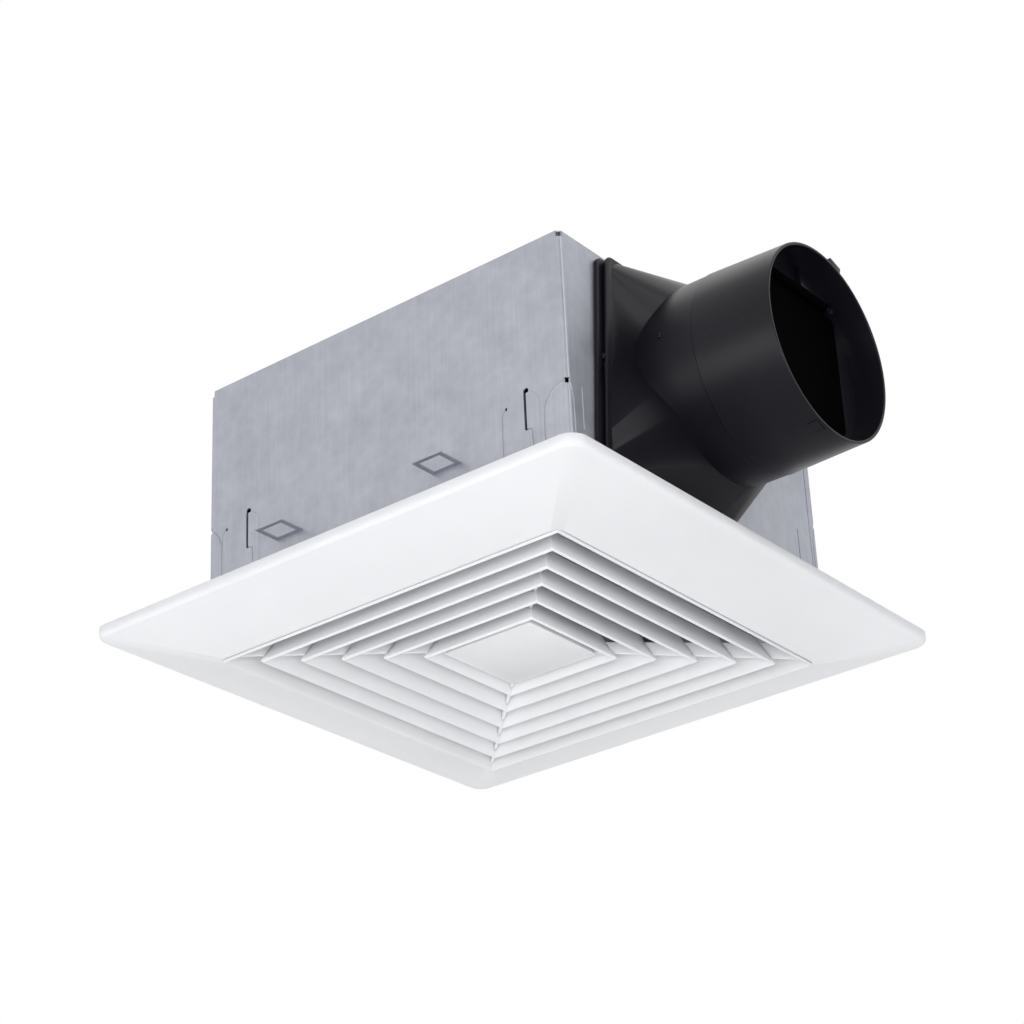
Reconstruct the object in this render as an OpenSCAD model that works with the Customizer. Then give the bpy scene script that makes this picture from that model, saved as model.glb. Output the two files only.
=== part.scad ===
// Ceiling exhaust fan for a 150 mm round duct.
// The origin is the centre of the housing on the joists' underside. +Z is up and +X is the duct outlet.

/* [Housing] */
// Length of the housing along the duct direction
body_l = 325; // [315:1:360]
// Width of the housing across the duct direction
body_w = 296; // [292:1:340]
// Height of the housing above the joists' underside
body_h = 183; // [180:1:210]
// Thickness of the galvanised sheet
sheet_t = 1; // [0.8:0.1:1.4]
// Width of the screw flange along the bottom edges
flange_w = 18; // [14:1:24]
// Diameter of the screw holes in the flange
flange_hole_d = 5.5; // [4:0.5:7]
// Distance between the flange's screw holes along each side
flange_pitch = 210; // [150:10:250]
// Height of the hanger ears above the joists' underside
ear_z = 38; // [34:1:60]
// Length of a hanger ear along the wall
ear_l = 25; // [20:1:30]
// How far a hanger ear stands out from the wall
ear_out = 22; // [18:1:26]
// Width of the sheet left round a hanger ear's slot
ear_rim = 3.5; // [3:0.5:5]
// Distance between the two hanger ears of one wall
ear_pitch = 143; // [100:1:160]
// Distance of the pair of ears' middle from the housing's middle
ear_shift = 12; // [0:1:20]
// Distance of a wall's slotted tongues from its middle
lance_x = 128; // [118:1:135]
// Width of a tongue, from its slot to its nick
lance_w = 16; // [12:1:20]
// Length of a tongue's slot
lance_h = 29; // [24:1:34]
// Width of a tongue's slot
lance_slot_w = 1.8; // [1.4:0.1:2.4]
// Height of a tongue's slot above the joists' underside
lance_z = 42; // [36:1:50]
// Diameter of the knockout for the supply cable
knockout_d = 22; // [20:0.5:25]
// Depth of the top lid's turned-down rim
lid_rim = 12; // [8:1:16]

/* [Duct adaptor] */
// Distance from the housing wall to the collar's mouth
adaptor_reach = 114.5; // [108:0.5:130]
// Outer diameter of the collar at its mouth
collar_d = 144; // [140:1:152]
// Outer diameter of the sleeve behind the collar's seam
sleeve_d = 149; // [147:1:155]
// Wall thickness of the adaptor's and collar's moulding
moulding_t = 2.2; // [1.8:0.1:2.8]
// Distance of the collar's axis from the housing's middle, towards the front
collar_shift = 6; // [0:1:12]
// Height of the collar's axis above the joists' underside
collar_z = 110; // [106:1:116]
// Length of the collar from its seam to its mouth
collar_l = 61; // [54:1:68]
// Length of the sleeve behind the seam, along its near side
sleeve_l = 36; // [30:1:38]
// Distance of the damper frame behind the collar's mouth
frame_inset = 23; // [20:1:28]
// Width and height of the square throat inside the collar
throat = 90; // [84:1:98]
// Radius of the square throat's corners
throat_r = 8; // [6:1:20]
// Thickness of the adaptor's flange against the housing
adaptor_flange_t = 7; // [5:0.5:9]
// Width of the adaptor's flange round its base
adaptor_flange_w = 13; // [10:1:14]

/* [Blower] */
// Width of the blower's outlet across the duct direction
outlet_w = 108; // [96:1:112]
// Distance of the outlet's front side from the housing's front wall
outlet_front = 52; // [50:1:60]
// Distance of the outlet's floor above the joists' underside
outlet_floor = 29; // [27:1:34]
// Distance of the wheel's axis from the housing's middle, away from the duct
wheel_x = 10; // [0:1:16]
// Distance of the wheel's axis from the housing's middle, towards the back
wheel_y = 30; // [24:1:32]
// Outer diameter of the wheel
wheel_d = 172; // [160:1:174]
// Depth of the wheel's blades in the radial direction
blade_depth = 16; // [12:1:20]
// Number of blades in the wheel
blade_count = 36; // [24:1:44]
// Thickness of a blade
blade_t = 1.4; // [1:0.1:1.8]
// Smallest gap between the wheel and the scroll wall, at the tongue
tongue_gap = 7; // [5:0.5:9]
// Thickness of the scroll wall
scroll_t = 1.2; // [1:0.1:2]
// Height of the bell-mouth above the orifice plate
bell_h = 14; // [10:1:15]
// Radius of the bell-mouth's rolled edge
bell_r = 12; // [8:1:14]
// Gap between the bell-mouth and the inside of the wheel
bell_gap = 3; // [2:0.5:5]

/* [Motor] */
// Outer diameter of the motor's can
motor_d = 96; // [84:1:98]
// Height of the motor's can
motor_h = 64; // [54:1:66]
// Diameter of the motor's shaft
shaft_d = 8; // [6:0.5:10]
// Diameter of the circle of the motor's mounting screws
motor_pcd = 116; // [112:1:124]
// Diameter of a rubber mount
mount_d = 14; // [12:1:16]
// Height of a rubber mount
mount_h = 6; // [4:0.5:8]
// Diameter of the motor's mounting screws
motor_screw_d = 5; // [4:0.5:5]

/* [Grille] */
// Width and length of the square grille
grille_w = 424; // [420:1:460]
// Height of the grille's outer lip
lip_h = 8.4; // [6:0.2:11]
// Radius of the grille's corners seen from below
grille_corner_r = 13; // [8:1:20]
// How far the border slopes down from the lip to the louvres
border_drop = 15.5; // [12:0.5:20]
// Width and length of the louvre panel
panel_w = 299; // [296:1:306]
// Distance from one louvre ring to the next
louvre_pitch = 20; // [19:0.25:21]
// Number of louvre rings
louvre_count = 5; // [3:1:5]
// Rise of each louvre ring's lower edge towards the centre
louvre_step = 0.95; // [0.5:0.05:1.2]
// Slope of the louvre blades from the level
louvre_angle = 66; // [45:1:72]
// Height of a louvre blade
louvre_h = 16; // [10:0.5:17]
// Wall thickness of the grille's moulding
grille_t = 2.4; // [2:0.1:3]
// Thickness of the ceiling board between the joists and the grille
ceiling_board = 12.7; // [9:0.1:16]
// Length of the slots that hold the grille springs' arms
spring_slot_l = 40; // [34:1:46]
// Length of a spring bracket
bracket_l = 60; // [52:1:70]
// Diameter of the grille springs' wire
wire_d = 2.2; // [1.8:0.1:2.6]
// Length of a grille spring's arms
arm_l = 84; // [70:1:88]
// How far the grille pulls down on its springs
grille_travel = 50; // [30:1:55]

/* [Hidden] */
$fn = 64;
seat_gap = 0.3; // Clearance between seated pieces
run_gap = 0.05; // Radial clearance of a running fit
screw_gap = 0.2; // Radial clearance of a screw in its hole
big = 1000; // Longer than anything in the model

zinc = "#aeb4bd";
black_plastic = "#2b2c30";
white_plastic = "#ededee";
steel = "#8d9095";
rubber = "#1b1b1c";

wall_x = body_l / 2;
wall_y = body_w / 2;
collar_y = -collar_shift;
mouth_x = wall_x + adaptor_reach;
seam_x = mouth_x - collar_l;
frame_x = mouth_x - frame_inset;
flange_x = wall_x + adaptor_flange_t;
pin_r = 1.6;
knuckle_r = 3;
pin_x = frame_x + seat_gap + knuckle_r + 0.2;
pin_z = collar_z + throat / 2 + 5;
lug_y = throat / 2 - 5;
pin_lug_w = 4;
hinge_l = 2 * lug_y - 3 * pin_lug_w;
flap_size = throat + 5;
flap_t = 1.6;
land_t = 4; // Thickness of the land over the back end of the flap's hinge

outlet_near = -wall_y + outlet_front;
outlet_far = outlet_near + outlet_w;
plate_z = outlet_floor - 3 * sheet_t;
plate_rim = 10; // Depth of the orifice plate's turned-down rim
scroll_z = plate_z + sheet_t;
top_plate_t = 2;
lid_gap = 2 * sheet_t + 1;
gasket_t = 2;
gasket_w = 6;
scroll_top = body_h - sheet_t - top_plate_t;
outlet_top = scroll_top - 3 * sheet_t;
hub_x = -wheel_x;
hub_y = wheel_y;

wheel_r = wheel_d / 2;
eye_r = wheel_r - blade_depth;
scroll_r0 = wheel_r + tongue_gap;
scroll_r1 = hub_y - outlet_near;
tongue_a = asin((outlet_far - hub_y) / scroll_r0);

base_y0 = outlet_near - moulding_t - 1;
base_y1 = outlet_far + moulding_t + 1;
base_z0 = outlet_floor - moulding_t;
base_z1 = outlet_top + moulding_t;
flange_y0 = base_y0 - adaptor_flange_w;
flange_y1 = base_y1 + adaptor_flange_w;
flange_z0 = base_z0 - adaptor_flange_w;
flange_z1 = body_h - 3 * sheet_t;
flange_r = 6;
adaptor_screw_d = 4;
flange_groove = 1.6; // Width of the groove round the flange's edge
sleeve_rake = 18; // How much shorter the sleeve is along its top
waist_x = (flange_x + seam_x) / 2; // The section where the funnel's near side has turned in
waist_y = collar_y - throat / 2 - 10;

box_l = 46;
box_w = 46;
box_h = 70;
box_t = 1;
box_x = -wall_x + sheet_t + seat_gap;
box_y = wall_y - sheet_t - seat_gap - box_w / 2;
box_z = scroll_z;
cover_screw_d = 4;
boss_w = 8;
cap_d = 34;
cap_h = 56;
cap_x = -wall_x + sheet_t + cap_d / 2 + 6;
cap_y = -wall_y + sheet_t + cap_d / 2 + 4;

motor_top = scroll_top - mount_h;
lug_t = 3;
motor_z = motor_top - motor_h;
cup_t = 2;
cup_r = motor_d / 2 + 6;
cup_z = motor_z - 8;
boss_h = 5;
hub_r = 14;
hub_h = 18;
wheel_top = scroll_top - 32;
wheel_z = plate_z + bell_h;
wheel_h = wheel_top - wheel_z;
bell_top_r = eye_r - bell_gap;
bell_out = bell_top_r + bell_r + seat_gap;
bell_rim = 8; // Width of the bell-mouth's flat rim under the orifice plate

ceiling_z = -sheet_t - ceiling_board;
lip_z = ceiling_z - lip_h;
field_z = lip_z - border_drop;
spring_y = wall_y - 9;
coil_r = 5;
slot_z = 10;
bracket_depth = 18;
slot_half = spring_slot_l / 2;
rivet_x = slot_half + 2;
panel_half = panel_w / 2;
upstand_h = 16;
lip_edge = 0.8; // Chamfer round the lip's lower edge
tab_z = field_z + upstand_h + 3;
tab_l = 30;
tab_t = 2;
post_t = 2;
post_pitch = 13;
blade_w = grille_t / sin(louvre_angle) * 0.8; // Thickness of a louvre blade, measured level
coil_z = tab_z + tab_t + seat_gap + coil_r + wire_d / 2;
field_wall_y = panel_half + seat_gap;

function polar(r, a) = [r * cos(a), r * sin(a)];
function scroll_r(a) = scroll_r0 + (scroll_r1 - scroll_r0) * (a - tongue_a) / (270 - tongue_a);
function scroll_points(extra) = [for (i = [0 : 40]) let (a = 270 + (tongue_a - 270) * i / 40)
    [hub_x, hub_y] + polar(scroll_r(a) + extra, a)];

// A rectangle with round corners, made of exact arcs
module round_rect(w, h, r) {
    square([w - 2 * r, h], center = true);
    square([w, h - 2 * r], center = true);
    for (i = [-1, 1], j = [-1, 1])
        translate([i * (w / 2 - r), j * (h / 2 - r)]) circle(r);
}

// Extrudes a profile drawn in Y and Z along X
module along_x(x0, x1) {
    translate([x0, 0, 0]) rotate([90, 0, 90]) linear_extrude(x1 - x0) children();
}

// A round bar along X, Y or Z
module bar_x(r, l) { rotate([0, 90, 0]) cylinder(r = r, h = l, center = true); }
module bar_y(r, l) { rotate([90, 0, 0]) cylinder(r = r, h = l, center = true); }

module frame_2d(outer, inner) {
    difference() {
        square(outer, center = true);
        square(inner, center = true);
    }
}

// A pressed tongue: a slot that ends in a relief hole, and a nick beside it
module lance_cut() {
    translate([-lance_slot_w / 2, -sheet_t, lance_z]) cube([lance_slot_w, 3 * sheet_t, lance_h]);
    translate([lance_slot_w / 2, 0, lance_z + lance_h]) bar_y(lance_slot_w, 4 * sheet_t);
    translate([-lance_w, -sheet_t, lance_z - lance_h / 3]) cube([lance_slot_w / 2, 3 * sheet_t, lance_h]);
}

// Each wall is folded sheet with its own length of the screw flange along the bottom
module long_wall(s) {
    color(zinc) mirror([0, s > 0 ? 1 : 0, 0]) difference() {
        union() {
            translate([-wall_x, -wall_y, -sheet_t]) cube([body_l, sheet_t, body_h]);
            translate([-wall_x - flange_w, -wall_y - flange_w, -sheet_t])
                cube([body_l + 2 * flange_w, flange_w, sheet_t]);
        }
        for (k = [-1, 1]) translate([k * lance_x, -wall_y, 0]) lance_cut();
    }
}

module end_wall(s) {
    color(zinc) difference() {
        mirror([s < 0 ? 1 : 0, 0, 0]) union() {
            translate([wall_x - sheet_t, sheet_t - wall_y, -sheet_t])
                cube([sheet_t, body_w - 2 * sheet_t, body_h]);
            translate([wall_x, -wall_y, -sheet_t]) cube([flange_w, body_w, sheet_t]);
        }
        for (j = [-1, 1]) translate([s * (wall_x + flange_w / 2), j * flange_pitch / 2, -2 * sheet_t])
            cylinder(d = flange_hole_d, h = 3 * sheet_t);
        along_x(wall_x - 2 * sheet_t, wall_x + sheet_t) translate([outlet_near, outlet_floor])
            square([outlet_w, outlet_top - outlet_floor]);
        translate([-wall_x, box_y, box_z + box_h / 2]) bar_x(knockout_d / 2, 4 * sheet_t);
    }
}

// The ears are bent out of the long walls, and hold hanger bars or straps
module hanger_ears() {
    for (s = [-1, 1], k = [-1, 1]) color(zinc) mirror([0, s > 0 ? 1 : 0, 0])
        translate([k * ear_pitch / 2 - ear_shift, -wall_y, ear_z]) difference() {
            translate([-ear_l / 2, -ear_out, 0]) cube([ear_l, ear_out, sheet_t]);
            translate([-ear_l / 2 + ear_rim, -ear_out + ear_rim, -1])
                cube([ear_l - 2 * ear_rim, ear_out - 2 * ear_rim, 2 + sheet_t]);
        }
}

// The lid closes the top and turns down inside the walls
module housing_lid() {
    rim_l = body_l - 2 * sheet_t - 2 * screw_gap;
    rim_w = body_w - 2 * sheet_t - 2 * screw_gap;
    color(zinc) {
        translate([0, 0, body_h - sheet_t]) linear_extrude(sheet_t) square([body_l, body_w], center = true);
        difference() {
            translate([0, 0, body_h - sheet_t - lid_rim]) linear_extrude(lid_rim)
                frame_2d([rim_l, rim_w], [rim_l - 2 * sheet_t, rim_w - 2 * sheet_t]);
            translate([wall_x - 10, outlet_near - gasket_w - 1, 0])
                cube([20, outlet_w + 2 * gasket_w + 2, body_h - sheet_t]);
        }
    }
}

// The adaptor leads from the rectangular outlet to the square throat inside the round sleeve

module throat_2d(size) {
    translate([collar_y, collar_z]) round_rect(size, size, throat_r);
}

// The funnel's near side turns in sharply behind the flange, so it is two hulls that share a section.
// Its rear end is sunk 1 mm in the flange, and over is how far its front end runs past the seam.
module funnel_base(grow) {
    along_x(flange_x - 2, flange_x - 1) translate([(base_y0 + base_y1) / 2, (base_z0 + base_z1) / 2])
        round_rect(base_y1 - base_y0 + 2 * grow, base_z1 - base_z0 + 2 * grow, 8, $fn = 32);
}

module funnel_waist(grow) {
    y1 = (base_y1 + collar_y + throat / 2) / 2;
    z0 = (base_z0 + collar_z - throat / 2) / 2;
    z1 = (base_z1 + collar_z + throat / 2) / 2;
    along_x(waist_x, waist_x + 0.5) translate([(waist_y + y1) / 2, (z0 + z1) / 2])
        round_rect(y1 - waist_y + 2 * grow, z1 - z0 + 2 * grow, 10, $fn = 32);
}

module funnel(grow, over) {
    hull() {
        funnel_base(grow);
        funnel_waist(grow);
    }
    hull() {
        funnel_waist(grow);
        along_x(seam_x - 1, seam_x + over) throat_2d(throat + 2 * moulding_t + 2 * grow, $fn = 32);
    }
}

module flange_2d(inset) {
    translate([(flange_y0 + flange_y1) / 2, (flange_z0 + flange_z1) / 2])
        round_rect(flange_y1 - flange_y0 - 2 * inset, flange_z1 - flange_z0 - 2 * inset, flange_r);
}

// The sleeve's rear end leans towards the seam above the axis
module sleeve(d, start, over) {
    x = seam_x - sleeve_l + start;
    difference() {
        along_x(x, seam_x + over) translate([collar_y, collar_z]) circle(d = d);
        translate([x, big / 2, collar_z]) rotate([90, 0, 0]) linear_extrude(big)
            polygon([[-1, 0], [0, 0], [sleeve_rake, sleeve_d / 2], [sleeve_rake, sleeve_d], [-1, sleeve_d]]);
    }
}

module duct_adaptor() {
    groove_x = wall_x + 0.4 * adaptor_flange_t;
    color(black_plastic) difference() {
        union() {
            along_x(wall_x, flange_x) flange_2d(0);
            translate([wall_x + adaptor_flange_t / 2, flange_y0, collar_z - 14]) bar_y(2.4, 2);
            funnel(0, 0);
            difference() {
                sleeve(sleeve_d, 0, 0);
                sleeve(sleeve_d - 2 * moulding_t, moulding_t, 1);
            }
        }
        funnel(-moulding_t, 1);
        along_x(wall_x - 1, flange_x - 1.5) translate([outlet_near, outlet_floor])
            square([outlet_w, outlet_top - outlet_floor]);
        along_x(groove_x, groove_x + flange_groove) difference() {
            flange_2d(-1);
            flange_2d(flange_groove / 2);
        }
        adaptor_screw_spots() bar_x(adaptor_screw_d / 2 + screw_gap, 3 * adaptor_flange_t);
    }
}

module duct_collar() {
    color(black_plastic) difference() {
        union() {
            along_x(seam_x + seat_gap, mouth_x) translate([collar_y, collar_z])
                circle(d = collar_d, $fn = 128);
            along_x(seam_x + seat_gap, seam_x + 3) translate([collar_y, collar_z])
                circle(d = sleeve_d, $fn = 128);
        }
        along_x(frame_x, mouth_x + 1) translate([collar_y, collar_z])
            circle(d = collar_d - 2 * moulding_t, $fn = 128);
        difference() {
            along_x(seam_x, frame_x - moulding_t) translate([collar_y, collar_z])
                circle(d = collar_d - 2 * moulding_t, $fn = 128);
            along_x(seam_x, frame_x) throat_2d(throat + 2 * moulding_t);
        }
        along_x(seam_x, frame_x + 1) throat_2d(throat);
    }
    color(black_plastic) for (s = [-1, 1]) pin_lug(s);
    color(black_plastic) along_x(frame_x - 1, frame_x + land_t) intersection() {
        translate([collar_y, collar_z]) circle(d = collar_d - moulding_t, $fn = 128);
        translate([collar_y + 5, pin_z + knuckle_r + 2]) square(collar_d);
    }
}

// The flap hangs on a pin along Y over the throat's top edge

module pin_lug(s) {
    translate([0, collar_y + s * lug_y, 0]) difference() {
        union() {
            translate([pin_x, 0, pin_z]) bar_y(knuckle_r, pin_lug_w);
            translate([frame_x - 1, -pin_lug_w / 2, pin_z - knuckle_r])
                cube([pin_x - frame_x + 1, pin_lug_w, 2 * knuckle_r]);
        }
        translate([pin_x, 0, pin_z]) bar_y(pin_r, 2 * pin_lug_w);
    }
}

module damper_flap() {
    notch_w = pin_lug_w + 2 * seat_gap + 1;
    color(black_plastic) difference() {
        union() {
            along_x(frame_x + seat_gap, frame_x + seat_gap + flap_t)
                translate([collar_y, collar_z]) round_rect(flap_size, flap_size, throat_r);
            translate([pin_x, collar_y, pin_z]) bar_y(knuckle_r, hinge_l);
            translate([frame_x + seat_gap, collar_y - hinge_l / 2, pin_z - 2 * knuckle_r])
                cube([flap_t, hinge_l, 2 * knuckle_r]);
        }
        translate([pin_x, collar_y, pin_z]) bar_y(pin_r + run_gap, 2 * lug_y);
        for (s = [-1, 1])
            translate([frame_x - 1, collar_y + s * lug_y - notch_w / 2, pin_z - knuckle_r - 1])
                cube([4 * knuckle_r, notch_w, 6 * knuckle_r]);
    }
}

module damper_pin() {
    color(steel) translate([pin_x, collar_y, pin_z]) bar_y(pin_r, 2 * lug_y + pin_lug_w);
}

// The scroll's wall stands on the orifice plate and ends at the outlet
module scroll_2d() {
    end_x = wall_x - sheet_t - gasket_t;
    polygon(concat([[end_x, outlet_near]], scroll_points(0), [[end_x, outlet_far]],
        [[end_x, outlet_far + scroll_t]],
        [[hub_x + sqrt(pow(scroll_r0 + scroll_t, 2) - pow(outlet_far + scroll_t - hub_y, 2)),
            outlet_far + scroll_t]],
        [for (i = [39 : -1 : 0]) scroll_points(scroll_t)[i]],
        [[end_x, outlet_near - scroll_t]]));
}

module scroll_casing() {
    color(zinc) translate([0, 0, scroll_z]) linear_extrude(scroll_top - scroll_z) scroll_2d();
}

module blower_plate() {
    color(zinc) difference() {
        translate([-wall_x + lid_gap, -wall_y + lid_gap, scroll_top])
            cube([body_l - 2 * lid_gap, body_w - 2 * lid_gap, top_plate_t]);
        mount_spots() translate([0, 0, scroll_top - 1]) cylinder(d = motor_screw_d, h = 4);
    }
}

module mount_spots() {
    translate([hub_x, hub_y, 0]) for (a = [30 : 120 : 270]) rotate(a)
        translate([motor_pcd / 2, 0, 0]) children();
}

module orifice_plate() {
    l = body_l - 2 * sheet_t - 2 * seat_gap;
    w = body_w - 2 * sheet_t - 2 * seat_gap;
    color(zinc) difference() {
        union() {
            translate([-l / 2, -w / 2, plate_z]) cube([l, w, sheet_t]);
            translate([0, 0, plate_z - plate_rim]) linear_extrude(plate_rim)
                frame_2d([l, w], [l - 2 * sheet_t, w - 2 * sheet_t]);
        }
        translate([hub_x, hub_y, plate_z - 1]) cylinder(r = bell_out, h = 4);
        for (s = [-1, 1]) translate([-slot_half - coil_r, s > 0 ? spring_y - coil_r : -wall_y, 0])
            cube([2 * (slot_half + coil_r), wall_y - spring_y + coil_r, plate_z + 2]);
    }
}

// The rolled inlet ring guides the air into the eye of the wheel
module bell_mouth() {
    curve_z = bell_r - sheet_t;
    color(zinc) translate([hub_x, hub_y, plate_z]) rotate_extrude($fn = 96) {
        difference() {
            translate([bell_top_r + bell_r, curve_z]) circle(bell_r, $fn = 64);
            translate([bell_top_r + bell_r, curve_z]) circle(bell_r - sheet_t, $fn = 64);
            translate([0, curve_z]) square([big, big]);
            translate([bell_top_r + bell_r, -big / 2]) square([big, big]);
        }
        translate([bell_top_r + bell_r, -sheet_t]) square([bell_rim, sheet_t]);
        translate([bell_top_r, curve_z]) square([sheet_t, bell_h - curve_z]);
    }
}

module blade_2d() {
    turn = 46;
    n = 5;
    pts = [for (i = [0 : n]) let (u = i / n)
        polar(eye_r + 0.5 + (wheel_r - 1 - eye_r) * u, -turn * u * u * blade_depth / wheel_r * 0.9)];
    polygon(concat(pts, [for (i = [n : -1 : 0]) let (u = i / n)
        pts[i] + polar(blade_t, 90 - turn * u * 0.9)]));
}

// The blades stand between the ring round the eye and the disc that carries the hub
module wheel_blades() {
    color(zinc) translate([hub_x, hub_y, wheel_z + cup_t])
        for (i = [0 : blade_count - 1]) rotate(i * 360 / blade_count)
            linear_extrude(wheel_h - 2 * cup_t) blade_2d();
}

module wheel_ring() {
    color(zinc) translate([hub_x, hub_y, wheel_z]) difference() {
        cylinder(r = wheel_r, h = cup_t);
        translate([0, 0, -1]) cylinder(r = eye_r, h = cup_t + 2);
    }
}

module wheel_disc() {
    color(zinc) translate([hub_x, hub_y, 0]) difference() {
        union() {
            translate([0, 0, wheel_top - cup_t]) cylinder(r = wheel_r, h = cup_t);
            translate([0, 0, cup_z - cup_t]) cylinder(r = cup_r + cup_t, h = wheel_top - cup_z + cup_t);
            translate([0, 0, cup_z - hub_h]) cylinder(r = hub_r, h = hub_h);
        }
        translate([0, 0, cup_z]) cylinder(r = cup_r, h = big);
        cylinder(d = shaft_d + run_gap, h = big);
    }
}

module motor() {
    translate([hub_x, hub_y, 0]) color(steel) difference() {
        union() {
            translate([0, 0, motor_z]) cylinder(d = motor_d, h = motor_h - 2);
            translate([0, 0, motor_z - boss_h]) cylinder(r = 12, h = boss_h + 1);
            for (a = [30 : 120 : 270]) rotate(a) {
                translate([0, -mount_d / 2, motor_top - lug_t]) cube([motor_pcd / 2, mount_d, lug_t]);
                translate([motor_pcd / 2, 0, motor_top - lug_t]) cylinder(d = mount_d, h = lug_t);
            }
        }
        translate([0, 0, motor_z - boss_h - 1]) cylinder(r = shaft_d / 2 + run_gap, h = 17);
        for (a = [30 : 120 : 270]) rotate(a) translate([motor_pcd / 2, 0, motor_top - lug_t - 1])
            cylinder(r = motor_screw_d / 2 + screw_gap, h = lug_t + 2);
    }
}

module motor_shaft() {
    z0 = cup_z - hub_h - 14;
    color(steel) translate([hub_x, hub_y, z0]) cylinder(d = shaft_d, h = motor_z - boss_h + 14 - z0);
}

module wheel_nut() {
    color(steel) translate([hub_x, hub_y, cup_z - hub_h - seat_gap - 7]) difference() {
        cylinder(d = 2.2 * shaft_d, h = 7, $fn = 6);
        translate([0, 0, -1]) cylinder(d = shaft_d + run_gap, h = 9, $fn = 64);
    }
}

module rubber_mounts() {
    color(rubber) mount_spots() translate([0, 0, motor_top]) difference() {
        cylinder(d = mount_d, h = mount_h);
        translate([0, 0, -1]) cylinder(r = motor_screw_d / 2 + screw_gap, h = mount_h + 2);
    }
}

module motor_screws() {
    color(steel) mount_spots() {
        translate([0, 0, motor_top - lug_t - 3]) cylinder(d = 1.8 * motor_screw_d, h = 3);
        translate([0, 0, motor_top - lug_t - 1])
            cylinder(d = motor_screw_d, h = lug_t + mount_h + 1 + top_plate_t - 0.2);
    }
}

module outlet_gasket() {
    color(rubber) along_x(wall_x - sheet_t - gasket_t, wall_x - sheet_t) difference() {
        translate([outlet_near - gasket_w, outlet_floor - 2])
            square([outlet_w + 2 * gasket_w, outlet_top - outlet_floor + 4]);
        translate([outlet_near, outlet_floor]) square([outlet_w, outlet_top - outlet_floor]);
    }
}

// Electrical parts in the two left corners

module cover_spots() {
    for (s = [-1, 1])
        translate([box_x + box_l, box_y + s * (box_w / 2 - 5), box_z + box_h / 2 + s * box_h / 3]) children();
}

module junction_box() {
    color(zinc) difference() {
        union() {
            difference() {
                translate([box_x, box_y - box_w / 2, box_z]) cube([box_l, box_w, box_h]);
                translate([box_x + box_t, box_y - box_w / 2 + box_t, box_z + box_t])
                    cube([box_l, box_w - 2 * box_t, box_h - 2 * box_t]);
            }
            cover_spots() translate([-boss_w, -boss_w / 2, -boss_w / 2]) cube(boss_w);
        }
        cover_spots() bar_x(cover_screw_d / 2 + run_gap, 13);
        translate([-wall_x, box_y, box_z + box_h / 2]) bar_x(knockout_d / 2, 8);
    }
}

module junction_cover() {
    color(zinc) difference() {
        translate([box_x + box_l, box_y - box_w / 2, box_z]) cube([box_t, box_w, box_h]);
        cover_spots() bar_x(cover_screw_d / 2 + screw_gap, 6);
    }
}

module cover_screws() {
    color(steel) cover_spots() {
        translate([box_t, 0, 0]) rotate([0, 90, 0]) cylinder(d = 2 * cover_screw_d, h = 2);
        translate([-5, 0, 0]) rotate([0, 90, 0]) cylinder(d = cover_screw_d, h = 6.5);
    }
}

module capacitor() {
    color(black_plastic) translate([cap_x, cap_y, scroll_z]) {
        cylinder(d = cap_d, h = cap_h);
        for (s = [-1, 1]) translate([s * 6, 0, cap_h]) translate([-0.4, -3, 0]) cube([0.8, 6, 8]);
    }
}

module capacitor_clip() {
    clip_h = 12;
    foot_l = 18;
    color(steel) translate([cap_x, cap_y, scroll_z + cap_h / 2]) difference() {
        union() {
            cylinder(r = cap_d / 2 + seat_gap + sheet_t, h = clip_h);
            translate([-foot_l / 2, -wall_y + sheet_t + seat_gap - cap_y, 0]) cube([foot_l, 6, clip_h]);
        }
        translate([0, 0, -1]) cylinder(r = cap_d / 2 + seat_gap, h = clip_h + 2);
    }
}

module adaptor_screw_spots() {
    for (z = [flange_z0 + 5, flange_z1 - 6]) translate([flange_x, flange_y1 - 5, z]) children();
}

module adaptor_screws() {
    color(steel) adaptor_screw_spots() {
        rotate([0, 90, 0]) cylinder(d = 1.9 * adaptor_screw_d, h = 2.5);
        translate([-adaptor_flange_t + seat_gap, 0, 0]) rotate([0, 90, 0])
            cylinder(d = adaptor_screw_d, h = adaptor_flange_t);
    }
}

// The grille's border slopes down from the lip to the louvre panel

module slab(size, r, z, h) {
    translate([0, 0, z]) linear_extrude(h) round_rect(size, size, r, $fn = 32);
}

module grille_frame() {
    edge = panel_w + 2 * seat_gap;
    thin = 0.02;
    color(white_plastic) {
        difference() {
            union() {
                slab(grille_w, grille_corner_r, lip_z + lip_edge, lip_h - lip_edge);
                hull() {
                    slab(grille_w, grille_corner_r, lip_z + lip_edge, thin);
                    slab(grille_w - 2 * lip_edge, grille_corner_r - lip_edge, lip_z, thin);
                    slab(edge + 2 * grille_t, 3, field_z, thin);
                }
            }
            slab(grille_w - 2 * grille_t, grille_corner_r - grille_t, lip_z + grille_t, lip_h);
            hull() {
                slab(grille_w - 2 * grille_t, grille_corner_r - grille_t, lip_z + grille_t, thin);
                slab(edge + 2 * grille_t, 3, field_z + grille_t, thin);
            }
            translate([-edge / 2, -edge / 2, field_z - 1]) cube([edge, edge, -field_z]);
        }
        translate([0, 0, field_z]) linear_extrude(upstand_h)
            frame_2d([edge + 2 * grille_t, edge + 2 * grille_t], [edge, edge]);
        for (s = [-1, 1]) mirror([0, s > 0 ? 1 : 0, 0]) spring_tab();
    }
}

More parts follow.
